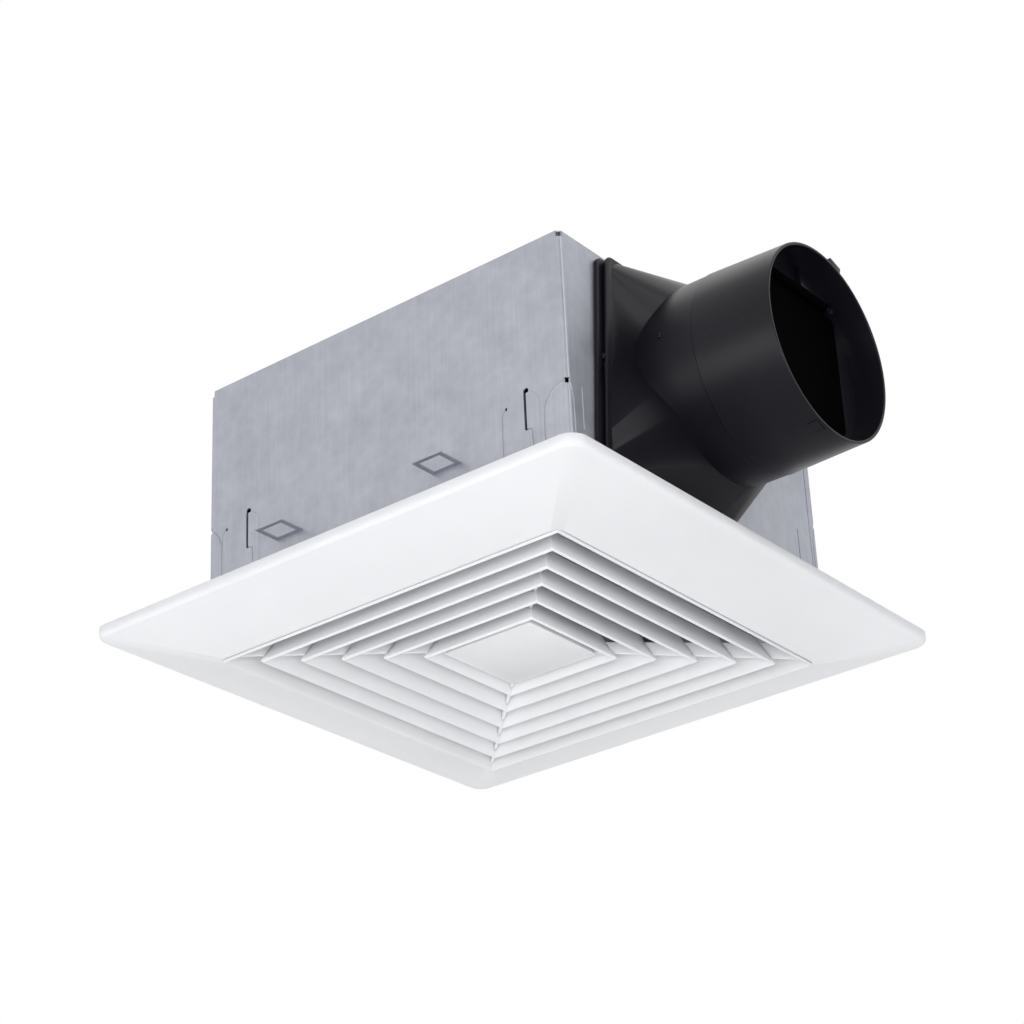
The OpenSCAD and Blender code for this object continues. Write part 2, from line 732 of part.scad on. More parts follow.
// A tab behind each end of the louvre field carries the post that the spring's coil turns on
module spring_tab() {
    near = min(field_wall_y, spring_y - post_pitch / 2 - post_t);
    far = max(field_wall_y + grille_t, spring_y + post_pitch / 2 + post_t);
    translate([-tab_l / 2, -far, tab_z]) cube([tab_l, far - near, tab_t]);
    translate([-tab_l / 2, -field_wall_y - grille_t, field_z + 1]) cube([tab_l, grille_t, tab_z - field_z]);
    for (k = [-1, 1]) translate([-4, -spring_y + k * post_pitch / 2 - post_t / 2, tab_z + 1])
        cube([8, post_t, coil_z - tab_z + 3]);
    translate([0, -spring_y, coil_z]) bar_y(coil_r - wire_d / 2 - seat_gap, post_pitch);
}

// A square cone ring, widest at its lower edge
module louvre_ring(half, z) {
    run = louvre_h / tan(louvre_angle);
    thin = 0.02;
    difference() {
        hull() {
            translate([-half, -half, z]) cube([2 * half, 2 * half, thin]);
            translate([-half + run, -half + run, z + louvre_h])
                cube([2 * (half - run), 2 * (half - run), thin]);
        }
        hull() {
            translate([-half + blade_w, -half + blade_w, z - thin])
                cube([2 * (half - blade_w), 2 * (half - blade_w), thin]);
            translate([-half + run + blade_w, -half + run + blade_w, z + louvre_h + thin])
                cube([2 * (half - run - blade_w), 2 * (half - run - blade_w), thin]);
        }
    }
}

module louvre_panel() {
    plate_rise = 1.6;
    plate_z = field_z + louvre_count * louvre_step + plate_rise;
    plate_half = panel_half - (louvre_count + 0.55) * louvre_pitch;
    rib_z = field_z + louvre_count * louvre_step + louvre_h * 0.4;
    color(white_plastic) {
        for (i = [0 : louvre_count]) louvre_ring(panel_half - i * louvre_pitch, field_z + i * louvre_step);
        louvre_ring(plate_half, plate_z);
        translate([-plate_half + 1, -plate_half + 1, plate_z])
            cube([2 * plate_half - 2, 2 * plate_half - 2, grille_t]);
        for (a = [45 : 90 : 315]) rotate(a)
            translate([(plate_half - 9) * sqrt(2), -1.2, rib_z])
                cube([(panel_half - 8 - plate_half + 9) * sqrt(2), 2.4, field_z + louvre_h - rib_z]);
        for (a = [45 : 90 : 315]) rotate(a)
            translate([(plate_half - 9) * sqrt(2), -1.2, plate_z]) cube([4, 2.4, rib_z - plate_z + 2]);
    }
}

module spring_bracket(s) {
    mirror([0, s < 0 ? 0 : 1, 0]) color(steel) difference() {
        union() {
            translate([-bracket_l / 2, -wall_y + sheet_t, slot_z]) cube([bracket_l, bracket_depth, sheet_t]);
            translate([-bracket_l / 2, -wall_y + sheet_t, 0]) cube([bracket_l, sheet_t, slot_z + sheet_t]);
        }
        translate([-slot_half, -spring_y - wire_d / 2 - 0.4, slot_z - 1])
            cube([spring_slot_l, wire_d + 0.8, 4]);
    }
}

module bracket_rivets() {
    for (s = [-1, 1], k = [-1, 1]) color(steel)
        translate([k * rivet_x, s * (wall_y - 2 * sheet_t), slot_z / 2 - 0.5]) rotate([s * 90, 0, 0])
            cylinder(r = 3, h = 1.2);
}

module grille_spring(s) {
    spread = 6;
    wall = wire_d * 0.4;
    translate([0, s * spring_y, coil_z]) color(steel) {
        difference() {
            bar_y(coil_r + wall, 3 * wire_d);
            bar_y(coil_r - wall, 4 * wire_d);
        }
        for (k = [-1, 1]) translate([k * coil_r, 0, 0]) rotate([0, k * spread, 0]) {
            cylinder(d = wire_d, h = arm_l);
            translate([k * 4, 0, arm_l - wire_d / 3]) bar_x(wire_d * 0.45, 9);
        }
    }
}

long_wall(-1);  // housing_front
long_wall(1);  // housing_back
end_wall(-1);  // housing_left
end_wall(1);  // housing_right
housing_lid();
hanger_ears();
duct_adaptor();
duct_collar();
damper_flap();
damper_pin();
scroll_casing();
blower_plate();
orifice_plate();
bell_mouth();
wheel_blades();
wheel_ring();
wheel_disc();
motor();
motor_shaft();
wheel_nut();
rubber_mounts();
motor_screws();
outlet_gasket();
capacitor();
capacitor_clip();
junction_box();
junction_cover();
cover_screws();
adaptor_screws();
grille_frame();
louvre_panel();
spring_bracket(-1);  // spring_bracket_front
spring_bracket(1);  // spring_bracket_back
grille_spring(-1);  // grille_spring_front
grille_spring(1);  // grille_spring_back
bracket_rivets();
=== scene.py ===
import math
import bmesh
import bpy
from mathutils import Matrix, Vector


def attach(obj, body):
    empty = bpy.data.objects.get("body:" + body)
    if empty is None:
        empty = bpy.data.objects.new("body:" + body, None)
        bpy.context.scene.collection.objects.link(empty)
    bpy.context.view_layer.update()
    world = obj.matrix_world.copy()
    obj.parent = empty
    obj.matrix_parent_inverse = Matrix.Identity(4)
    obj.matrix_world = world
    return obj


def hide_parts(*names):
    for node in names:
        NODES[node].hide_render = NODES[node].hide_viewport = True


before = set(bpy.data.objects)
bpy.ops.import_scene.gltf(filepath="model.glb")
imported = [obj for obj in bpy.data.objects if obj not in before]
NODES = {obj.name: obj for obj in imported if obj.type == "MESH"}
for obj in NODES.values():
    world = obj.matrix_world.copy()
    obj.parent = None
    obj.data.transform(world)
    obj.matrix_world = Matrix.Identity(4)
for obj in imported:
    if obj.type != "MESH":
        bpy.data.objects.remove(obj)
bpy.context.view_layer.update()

# Sizes in millimetres, as in the part's source. The origin is the middle of the
# housing on the joists' underside, with Z up and X along the duct.
WALL_X, WALL_Y, WALL_TOP = 162.5, 148.0, 183.0  # half length, half width and height of the box
SHEET = 1.0                                     # thickness of the galvanised sheet
SEAM_X, MOUTH_X, FRAME_X = 216.0, 277.0, 254.0  # collar's rear end, its mouth, the damper's seat
DUCT_Y, DUCT_Z = -6.0, 110.0                    # axis of the duct
COLLAR_R, SLEEVE_R, MOULDING = 72.0, 73.5, 2.2
BORE_R = COLLAR_R - MOULDING
THROAT, THROAT_R = 45.0, 8.0                    # half side and corner of the square throat
PIN_X, PIN_Z = 257.5, 160.0                     # axis of the damper's pin
GRILLE_HALF, LIP_TOP, LIP_LOW, FIELD_LOW = 212.0, -13.7, -22.1, -37.6
FIELD_HALF = 149.5                              # half side of the louvre field


# Colours and materials

def linear(code):
    """An sRGB hex colour as the linear values that the shaders take."""
    parts = [int(code[i:i + 2], 16) / 255 for i in (1, 3, 5)]
    return [c / 12.92 if c <= 0.04045 else ((c + 0.055) / 1.055) ** 2.4 for c in parts] + [1.0]


def add(material, kind, sockets=None, stops=(), **settings):
    """Adds one node. sockets holds a value for each input, or (node, output) to link, and
    stops holds the places and colours of a colour ramp."""
    tree = material.node_tree
    made = tree.nodes.new("ShaderNode" + kind)
    for name, value in settings.items():
        setattr(made, name, value)
    for name, value in (sockets or {}).items():
        socket = made.inputs[name]
        if isinstance(value, tuple) and hasattr(value[0], "outputs"):
            tree.links.new(value[0].outputs[value[1]], socket)
        else:
            socket.default_value = value
    if stops:
        bar = made.color_ramp
        while len(bar.elements) < len(stops):
            bar.elements.new(1.0)
        for element, (place, colour) in zip(bar.elements, stops):
            element.position = place
            element.color = colour
    return made


def new_material(name):
    """An empty node material."""
    material = bpy.data.materials.new(name)
    material.use_nodes = True
    material.node_tree.nodes.clear()
    return material


def grey(value):
    return [value, value, value, 1.0]


# A Mix node's colour sockets share their names with its others, so they go by number
MIX_FACTOR, MIX_A, MIX_B, MIX_RESULT = 0, 6, 7, 2


def galvanised_sheet(name, base, light, dark):
    """Hot-dipped zinc on steel: frosty spangle a few millimetres wide, faint rolling lines up
    the sheet, and cloudy patches where hands and the press have dulled it."""
    m = new_material(name)
    place = add(m, "TexCoord")
    # Spangle grains are about 9 mm across
    spangle = add(m, "TexVoronoi", {"Vector": (place, "Object"), "Scale": 110.0,
                                    "Randomness": 1.0}, feature="F1")
    # Rolling lines run up the sheet, 1.5 mm apart, drawn coarse enough to show
    stretch = add(m, "Mapping", {"Vector": (place, "Object"), "Scale": (600.0, 600.0, 12.0)})
    lines = add(m, "TexNoise", {"Vector": (stretch, "Vector"), "Scale": 1.0, "Detail": 3.0})
    # Dull patches are about 35 mm wide
    clouds = add(m, "TexNoise", {"Vector": (place, "Object"), "Scale": 28.0, "Detail": 6.0,
                                 "Roughness": 0.7})
    tone = add(m, "ValToRGB", {"Fac": (clouds, "Fac")},
               [(0.32, linear(dark)), (0.5, linear(base)), (0.7, linear(light))])
    grain = add(m, "ValToRGB", {"Fac": (spangle, "Distance")},
                [(0.0, grey(0.9)), (1.0, grey(1.08))])
    frost = add(m, "Mix", {MIX_FACTOR: 0.55, MIX_A: (tone, "Color"), MIX_B: (grain, "Color")},
                data_type="RGBA", blend_type="MULTIPLY")
    streak = add(m, "ValToRGB", {"Fac": (lines, "Fac")}, [(0.3, grey(0.93)), (0.7, grey(1.05))])
    colour = add(m, "Mix", {MIX_FACTOR: 0.6, MIX_A: (frost, MIX_RESULT), MIX_B: (streak, "Color")},
                 data_type="RGBA", blend_type="MULTIPLY")
    rough = add(m, "ValToRGB", {"Fac": (clouds, "Fac")}, [(0.3, grey(0.42)), (0.75, grey(0.56))])
    rolled = add(m, "Bump", {"Strength": 0.06, "Distance": 0.0004, "Height": (lines, "Fac")})
    lift = add(m, "Bump", {"Strength": 0.10, "Distance": 0.0005, "Height": (spangle, "Distance"),
                           "Normal": (rolled, "Normal")})
    # The zinc has dulled, so it is less than fully metallic
    shader = add(m, "BsdfPrincipled", {"Base Color": (colour, MIX_RESULT), "Metallic": 0.72,
                                       "Roughness": (rough, "Color"), "Normal": (lift, "Normal")})
    add(m, "OutputMaterial", {"Surface": (shader, "BSDF")})
    return m


def moulded_plastic(name, base, shade, roughness, grain_mm, bump, specular, glow_mm=0.0):
    """Moulded plastic: an even colour with the faint cloudiness of pigment, and the
    fine orange-peel grain of a blasted tool, drawn a little coarser than life. Where light
    gets into the plastic, as in thin white walls, it spreads over glow_mm."""
    m = new_material(name)
    place = add(m, "TexCoord")
    # Pigment clouds are about 110 mm wide
    clouds = add(m, "TexNoise", {"Vector": (place, "Object"), "Scale": 9.0, "Detail": 4.0})
    tone = add(m, "ValToRGB", {"Fac": (clouds, "Fac")}, [(0.3, linear(shade)), (0.7, linear(base))])
    peel = add(m, "TexNoise", {"Vector": (place, "Object"), "Scale": 1000.0 / grain_mm,
                               "Detail": 2.0})
    rough = add(m, "ValToRGB", {"Fac": (clouds, "Fac")},
                [(0.25, grey(roughness - 0.04)), (0.75, grey(roughness + 0.05))])
    lift = add(m, "Bump", {"Strength": bump, "Distance": 0.0003, "Height": (peel, "Fac")})
    shader = add(m, "BsdfPrincipled", {
        "Base Color": (tone, "Color"), "Roughness": (rough, "Color"),
        "Specular IOR Level": specular, "Normal": (lift, "Normal"),
        "Subsurface Weight": 0.5 if glow_mm else 0.0, "Subsurface Radius": (1.0, 1.0, 1.0),
        "Subsurface Scale": glow_mm / 1000})
    add(m, "OutputMaterial", {"Surface": (shader, "BSDF")})
    return m


def plated_steel(name, base, shade, roughness):
    """Zinc-plated steel: a thin bright coat with drawing lines and faint cloudy handling marks."""
    m = new_material(name)
    place = add(m, "TexCoord")
    # Handling marks are about 14 mm wide, and the drawing lines 0.7 mm apart
    clouds = add(m, "TexNoise", {"Vector": (place, "Object"), "Scale": 70.0, "Detail": 4.0})
    fine = add(m, "TexNoise", {"Vector": (place, "Object"), "Scale": 1400.0, "Detail": 2.0})
    tone = add(m, "ValToRGB", {"Fac": (clouds, "Fac")}, [(0.3, linear(shade)), (0.7, linear(base))])
    rough = add(m, "ValToRGB", {"Fac": (clouds, "Fac")},
                [(0.3, grey(roughness - 0.06)), (0.7, grey(roughness + 0.08))])
    lift = add(m, "Bump", {"Strength": 0.08, "Distance": 0.0002, "Height": (fine, "Fac")})
    shader = add(m, "BsdfPrincipled", {"Base Color": (tone, "Color"), "Roughness": (rough, "Color"),
                                       "Metallic": 1.0, "Normal": (lift, "Normal")})
    add(m, "OutputMaterial", {"Surface": (shader, "BSDF")})
    return m


ZINC = galvanised_sheet("galvanised_sheet_hot_dipped", "#aeb0b9", "#b5b7c0", "#a6a8b2")
# Polypropylene comes from a polished tool with a soft gloss
BLACK = moulded_plastic("polypropylene_black_moulded", "#131219", "#0f0e14", 0.32, 1.2, 0.05, 0.22)
# The flap's near-black colour is painted shade for the deep dark of the open throat in the mouth;
# its textured face is dull
FLAP_BLACK_PAINTED_SHADE = moulded_plastic("polypropylene_black_painted_shade", "#020203", "#020202", 0.8, 1.2, 0.05,
                             0.01)
# Matt white ABS, a little translucent
WHITE = moulded_plastic("abs_white_moulded", "#e9e9eb", "#e4e4e6", 0.5, 0.8, 0.03, 0.2, 9.0)
STEEL = plated_steel("steel_zinc_plated_drawn", "#c3c6ca", "#a4a8ae", 0.34)
MOTOR_STEEL = plated_steel("steel_sheet_rolled_motor_can", "#9da1a6", "#83878d", 0.42)
# EPDM rubber is matt, with a faint bloom
RUBBER = moulded_plastic("rubber_epdm_moulded", "#1c1c1d", "#141415", 0.72, 1.0, 0.12, 0.3)


# Modelling by hand

def deselect():
    if bpy.context.object and bpy.context.object.mode != "OBJECT":
        bpy.ops.object.mode_set(mode="OBJECT")
    bpy.ops.object.select_all(action="DESELECT")


def take(piece):
    """Makes a piece the only selected and active one."""
    deselect()
    piece.select_set(True)
    bpy.context.view_layer.objects.active = piece


def edit(piece, kind, test):
    """Opens a piece in edit mode with the faces, edges or corners that pass the test selected.
    The test gets places in millimetres."""
    take(piece)
    bpy.ops.object.mode_set(mode="EDIT")
    bpy.ops.mesh.select_mode(type=kind)
    bpy.ops.mesh.select_all(action="DESELECT")
    mesh = bmesh.from_edit_mesh(piece.data)
    for item in {"FACE": mesh.faces, "EDGE": mesh.edges, "VERT": mesh.verts}[kind]:
        if kind == "FACE":
            chosen = test(item.calc_center_median() * 1000, item.normal)
        elif kind == "EDGE":
            chosen = test(*[v.co * 1000 for v in item.verts])
        else:
            chosen = test(item.co * 1000)
        item.select_set(bool(chosen))
    bmesh.update_edit_mesh(piece.data)


def leave():
    bpy.ops.object.mode_set(mode="OBJECT")


def delete_faces(piece, test):
    edit(piece, "FACE", test)
    bpy.ops.mesh.delete(type="FACE")
    leave()


def round_edges(piece, test, radius, segments):
    """Bevels the edges that pass the test, by a radius in millimetres."""
    edit(piece, "EDGE", test)
    bpy.ops.mesh.bevel(offset=radius / 1000, segments=segments, affect="EDGES")
    leave()


def settle(piece, name):
    """Names a new primitive and sinks its place, turn and size in its mesh."""
    piece.name = name
    piece.data.name = name
    bpy.ops.object.transform_apply(location=True, rotation=True, scale=True)
    return piece


def block(name, low, high):
    """A cube primitive stretched between two corners, in millimetres."""
    deselect()
    bpy.ops.mesh.primitive_cube_add(
        size=1, location=[(a + b) / 2000 for a, b in zip(low, high)],
        scale=[(b - a) / 1000 for a, b in zip(low, high)])
    return settle(bpy.context.object, name)


TURN = {"X": (0, math.pi / 2, 0), "Y": (math.pi / 2, 0, 0), "Z": (0, 0, 0)}


def rod(name, radius, middle, axis, length, sides=48, end_radius=None):
    """A cylinder or cone primitive along X, Y or Z, in millimetres."""
    deselect()
    bpy.ops.mesh.primitive_cone_add(
        vertices=sides, radius1=radius / 1000,
        radius2=(radius if end_radius is None else end_radius) / 1000,
        depth=length / 1000, location=[v / 1000 for v in middle], rotation=TURN[axis])
    return settle(bpy.context.object, name)


def round_plate(name, x, y0, y1, z0, z1, radius, segments=8):
    """A flat plate across X with rounded corners, as one face."""
    deselect()
    middle = (0, (y0 + y1) / 2000, (z0 + z1) / 2000)
    bpy.ops.mesh.primitive_plane_add(size=1, location=(x / 1000, *middle[1:]), rotation=TURN["X"])
    plate = settle(bpy.context.object, name)
    there = Matrix.Translation(middle)
    stretch = Matrix.Diagonal((1, (y1 - y0) / 1000, (z1 - z0) / 1000, 1))
    plate.data.transform(there @ stretch @ there.inverted())
    edit(plate, "VERT", lambda at: True)
    bpy.ops.mesh.bevel(affect="VERTICES", offset=radius / 1000, segments=segments)
    leave()
    return plate


def slab(name, x0, x1, y0, y1, z0, z1, radius, segments=6):
    """A plate with rounded corners and a thickness along X."""
    plate = round_plate(name, x0, y0, y1, z0, z1, radius, segments)
    edit(plate, "FACE", lambda at, n: True)
    bpy.ops.mesh.extrude_region_move(TRANSFORM_OT_translate={"value": ((x1 - x0) / 1000, 0, 0)})
    leave()
    return outward(plate)


def groove(name, points, radius):
    """A round bar along a path of points in millimetres, to cut a groove or stand as a line."""
    deselect()
    data = bpy.data.curves.new(name, "CURVE")
    data.dimensions = "3D"
    data.bevel_depth = radius / 1000
    data.bevel_resolution = 2
    data.use_fill_caps = True
    line = data.splines.new("POLY")
    line.points.add(len(points) - 1)
    for spot, at in zip(line.points, points):
        spot.co = [v / 1000 for v in at] + [1]
    bar = bpy.data.objects.new(name, data)
    bpy.context.scene.collection.objects.link(bar)
    take(bar)
    bpy.ops.object.convert(target="MESH")
    return outward(bpy.context.object)


def modify(piece, kind, **settings):
    """Adds a modifier with its settings and applies it."""
    take(piece)
    made = piece.modifiers.new(kind.lower(), kind)
    for name, value in settings.items():
        setattr(made, name, value)
    bpy.ops.object.modifier_apply(modifier=made.name)
    return piece


def cut(piece, *tools):
    """Cuts each tool's shape out of the piece and throws the tool away."""
    for tool in tools:
        modify(piece, "BOOLEAN", operation="DIFFERENCE", object=tool, solver="EXACT")
        bpy.data.objects.remove(tool)
    return piece


def weld(piece, *others):
    """Unites the others with the piece."""
    for other in others:
        modify(piece, "BOOLEAN", operation="UNION", object=other, solver="EXACT")
        bpy.data.objects.remove(other)
    return piece


def join(name, *pieces):
    take(pieces[0])
    for other in pieces[1:]:
        other.select_set(True)
    bpy.ops.object.join()
    pieces[0].name = name
    return pieces[0]


def outward(piece):
    """Merges doubled corners and points every face outwards."""
    take(piece)
    bpy.ops.object.mode_set(mode="EDIT")
    bpy.ops.mesh.select_all(action="SELECT")
    bpy.ops.mesh.remove_doubles(threshold=0.00001)
    bpy.ops.mesh.normals_make_consistent(inside=False)
    leave()
    return piece


def thicken(piece, wall):
    """Gives an open skin a wall in millimetres, on its inner side."""
    modify(piece, "SOLIDIFY", thickness=wall / 1000, offset=-1, use_even_offset=True)
    return outward(piece)


def soften(piece, width, segments=2, angle=40):
    """Rounds the sharp edges by a width in millimetres."""
    return modify(piece, "BEVEL", width=width / 1000, segments=segments, limit_method="ANGLE",
                  angle_limit=math.radians(angle), use_clamp_overlap=True)


def round_the_duct(piece, degrees):
    """Turns a piece about the duct's axis."""
    at = Matrix.Translation((0, DUCT_Y / 1000, DUCT_Z / 1000))
    piece.data.transform(at @ Matrix.Rotation(math.radians(degrees), 4, "X") @ at.inverted())
    return piece


def dress(piece, material, body, slot, *replaced, angle):
    """Gives a finished piece its material, smooth shading and body, and hides the parts it
    replaces. The slot is not used.
    """
    take(piece)
    bpy.ops.object.shade_smooth_by_angle(angle=math.radians(angle))
    piece.data.materials.clear()
    piece.data.materials.append(material)
    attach(piece, body)
    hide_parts(*replaced)
    return piece


# Grille

LIP_CORNER_R, LIP_EDGE_R = 13, 3.6      # rounding of the frame in plan, and of its lower edge
FRAME_WALL, BLADE_WALL = 2.4, 2.0
FIELD_TURN_UP = 14                      # height of the wall round the louvre field
# Half side and lower edge of each square blade, from the field's edge inwards
LOUVRES = ((FIELD_HALF - 0.9, -37.6), (129.5, -37.2), (109.8, -36.6), (89.8, -35.5),
           (68.9, -34.4), (48.8, -33.6))
BLADE_RISE, BLADE_SLOPE = 19.5, math.radians(66)
PAN_HALF, PAN_LOW, PAN_TOP = 38.5, -31.3, -20
RIB_FROM, RIB_TO, RIB_TOP, RIB_LOW = 41.7, 203.5, -21.8, -29.6
RIB_DIP, RIB_NEAR_LOW = 4.4, -24.2      # outer end of a rib, and lower edge of the near one


def grille_border():
    """The moulded frame: an upright lip with a rounded edge, a face that slopes down to the
    louvre field, and a wall that turns up round the field."""
    piece = block("grille_border", (-GRILLE_HALF, -GRILLE_HALF, LIP_LOW),
                  (GRILLE_HALF, GRILLE_HALF, LIP_TOP))
    round_edges(piece, lambda a, b: abs(a.z - b.z) > 1, LIP_CORNER_R, 10)
    round_edges(piece, lambda a, b: max(a.z, b.z) < LIP_LOW + 0.1, LIP_EDGE_R, 5)
    edit(piece, "FACE", lambda at, n: n.z < -0.99)
    drop = (FIELD_LOW - LIP_LOW) / 1000
    bpy.ops.mesh.extrude_region_move(TRANSFORM_OT_translate={"value": (0, 0, drop)})
    inner = FIELD_HALF / (GRILLE_HALF - LIP_EDGE_R)
    bpy.ops.transform.resize(value=(inner, inner, 1))
    up = FIELD_TURN_UP / 1000
    bpy.ops.mesh.extrude_region_move(TRANSFORM_OT_translate={"value": (0, 0, up)})
    bpy.ops.mesh.delete(type="FACE")
    leave()
    delete_faces(piece, lambda at, n: n.z > 0.99)
    soften(thicken(piece, FRAME_WALL), 0.5, 2, 50)
    return dress(piece, WHITE, "grille", "white_moulding", "grille_frame", angle=25)


def taper(piece, half, rise, test):
    """Draws the part that passes the test in, so that walls of this rise slope as a blade does."""
    edit(piece, "VERT", test)
    top = 1 - rise / math.tan(BLADE_SLOPE) / half
    bpy.ops.transform.resize(value=(top, top, 1))
    leave()


def louvre_ring(number, half, low):
    """One square louvre blade, widest at its lower edge."""
    ring = block("louvre_%d" % number, (-half, -half, low), (half, half, low + BLADE_RISE))
    delete_faces(ring, lambda at, n: abs(n.z) > 0.9)
    taper(ring, half, BLADE_RISE, lambda at: at.z > low + 1)
    return soften(thicken(ring, BLADE_WALL), 0.45, 2, 50)


def louvre_rib(number):
    """A rib behind one mitre, from the pan to the frame. The one at the near corner lies too
    deep to show between the blades."""
    near = number == 3
    rib = block("rib_%d" % number, (RIB_FROM, -1, RIB_NEAR_LOW if near else RIB_LOW),
                (RIB_TO, 1, RIB_TOP))
    if not near:
        edit(rib, "VERT", lambda at: at.x > 100 and at.z < RIB_LOW + 1)
        bpy.ops.transform.translate(value=(0, 0, -RIB_DIP / 1000))
        leave()
    rib.data.transform(Matrix.Rotation(math.radians(45 + 90 * number), 4, "Z"))
    return rib


def louvre_panel():
    """Square rings of sloping blades round a shallow pan, held by ribs behind the mitres."""
    rings = [louvre_ring(i, half, low) for i, (half, low) in enumerate(LOUVRES)]
    pan = block("louvre_pan", (-PAN_HALF, -PAN_HALF, PAN_LOW), (PAN_HALF, PAN_HALF, PAN_TOP))
    taper(pan, PAN_HALF, PAN_TOP - PAN_LOW, lambda at: at.z > PAN_TOP - 1)
    delete_faces(pan, lambda at, n: n.z > 0.9)
    soften(thicken(pan, BLADE_WALL), 0.45, 2, 50)
    piece = join("louvres", *rings, pan, *[louvre_rib(k) for k in range(4)])
    return dress(piece, WHITE, "grille", "white_moulding", "louvre_panel", angle=30)


# Duct adaptor

FLANGE_SLANT = 13                                 # the near edge leans out by this at its foot
FUNNEL_FOOT = (-101.5, 28.0, 14.6, 178.6)         # near and far side, bottom and top
ARC_X, ARC_DIP, ARC_REACH = 190, 19.5, 52         # the sleeve's rear end, and its dip to the flange
OUTLET_Y0, OUTLET_Y1, OUTLET_Z0, OUTLET_Z1 = -92, 12, 29, 170


def loft(name, *sections):
    """Bridges flat sections, first to last, into one closed skin."""
    piece = join(name, *sections)
    edit(piece, "FACE", lambda at, n: True)
    bpy.ops.mesh.delete(type="ONLY_FACE")
    leave()
    edit(piece, "EDGE", lambda a, b: True)
    bpy.ops.mesh.bridge_edge_loops(number_cuts=0, interpolation="LINEAR")
    # The two end faces go back in, so that the skin holds a volume
    bpy.ops.mesh.select_all(action="SELECT")
    bpy.ops.mesh.fill_holes(sides=0)
    leave()
    return piece


def slant(piece):
    """Moves the near lower corner out, so that the near edge slants."""
    edit(piece, "VERT", lambda at: at.y < -50 and at.z < 100)
    bpy.ops.transform.translate(value=(0, -FLANGE_SLANT / 1000, 0))
    leave()
    return piece


def divide(piece, test, cuts):
    """Divides the long edges that pass the test."""
    edit(piece, "EDGE", lambda a, b: (a - b).length > 20 and test(a, b))
    bpy.ops.mesh.subdivide(number_cuts=cuts)
    leave()


def ring_of_points(name, radius, x):
    """An open circle of 72 points about the duct's axis, none of them at its near middle."""
    deselect()
    bpy.ops.mesh.primitive_circle_add(
        vertices=72, radius=radius / 1000, fill_type="NGON",
        location=(x / 1000, DUCT_Y / 1000, DUCT_Z / 1000), rotation=TURN["X"])
    return round_the_duct(settle(bpy.context.object, name), 360 / 72 / 2)


def funnel():
    """The closed outside of the adaptor: gores run from the corners of the rectangular base to
    the back end of the round sleeve, which dips to the flange on the near side."""
    base = round_plate("funnel_base", WALL_X + 6.2, *FUNNEL_FOOT, 12, 10)
    divide(base, lambda a, b: max(a.y, b.y) < -90, 10)
    divide(base, lambda a, b: True, 6)
    slant(base)
    arc = ring_of_points("funnel_arc", SLEEVE_R, ARC_X)
    edit(arc, "VERT", lambda at: at.y < DUCT_Y - SLEEVE_R * 0.998)
    bpy.ops.transform.translate(value=(-ARC_DIP / 1000, 0, 0), use_proportional_edit=True,
                                proportional_edit_falloff="SMOOTH",
                                proportional_size=ARC_REACH / 1000)
    leave()
    seam = ring_of_points("funnel_seam", SLEEVE_R, SEAM_X)
    return outward(loft("adaptor_funnel", base, arc, seam))


def passage():
    """The air's way from the outlet over a waist to the square throat."""
    waist_half = THROAT + 1
    base = round_plate("passage_base", WALL_X - 1, -66, 20, 30, 168, 10)
    waist = round_plate("passage_waist", ARC_X, DUCT_Y - waist_half, DUCT_Y + waist_half,
                        DUCT_Z - waist_half, DUCT_Z + waist_half, THROAT_R)
    end = round_plate("passage_end", SEAM_X + 1, DUCT_Y - THROAT, DUCT_Y + THROAT,
                      DUCT_Z - THROAT, DUCT_Z + THROAT, THROAT_R)
    return outward(loft("adaptor_passage", base, waist, end))


def duct_adaptor():
    """The moulded funnel from the rectangular outlet to the round sleeve that the collar snaps
    on, and its two-step flange."""
    back = slab("flange_back", WALL_X + 0.6, WALL_X + 3.2, -111, 28.2, 9, 177.5, 6)
    core = slab("flange_core", WALL_X, WALL_X + 5.6, -103, 27.2, 14.6, 179, 7)
    rim = slab("flange_front", WALL_X + 4.9, WALL_X + 7, -105.5, 28.2, 13.8, 180, 8)
    shell = funnel()
    for plate, width in ((back, 0.5), (core, 0.3), (rim, 0.8)):
        soften(slant(plate), width, 3)
    weld(shell, core, rim)
    cut(shell, passage())
    cut(back, block("opening", (WALL_X - 5, OUTLET_Y0, OUTLET_Z0),
                    (WALL_X + 12, OUTLET_Y1, OUTLET_Z1)))
    # A moulding pip on the flange's near edge, and a nub and the parting line on the sleeve
    near = DUCT_Y - SLEEVE_R + 0.1
    pip = soften(rod("flange_pip", 2.0, (WALL_X + 4.6, -112.4, 97), "Y", 2.4, sides=20), 0.4)
    nub = soften(rod("sleeve_nub", 2.0, (190.5, near, DUCT_Z + 8), "Y", 1.2, sides=20), 0.5, 3)
    line = groove("sleeve_parting", [(172, near, DUCT_Z + 1), (SEAM_X - 1, near, DUCT_Z + 1)], 0.2)
    piece = join("adaptor", shell, back, pip, nub, line)
    return dress(piece, BLACK, "housing", "black_moulding", "duct_adaptor", angle=24)


# Duct collar and damper

HINGE_HALF = 40                     # the hinge's lugs stand this far from the duct's axis
LUG_R, LUG_HALF = 3.0, 2            # radius and half width of a lug
STOP_TURN, TWIN_TURN = 73, -105     # places of the rim's stop and its mark, from the far side


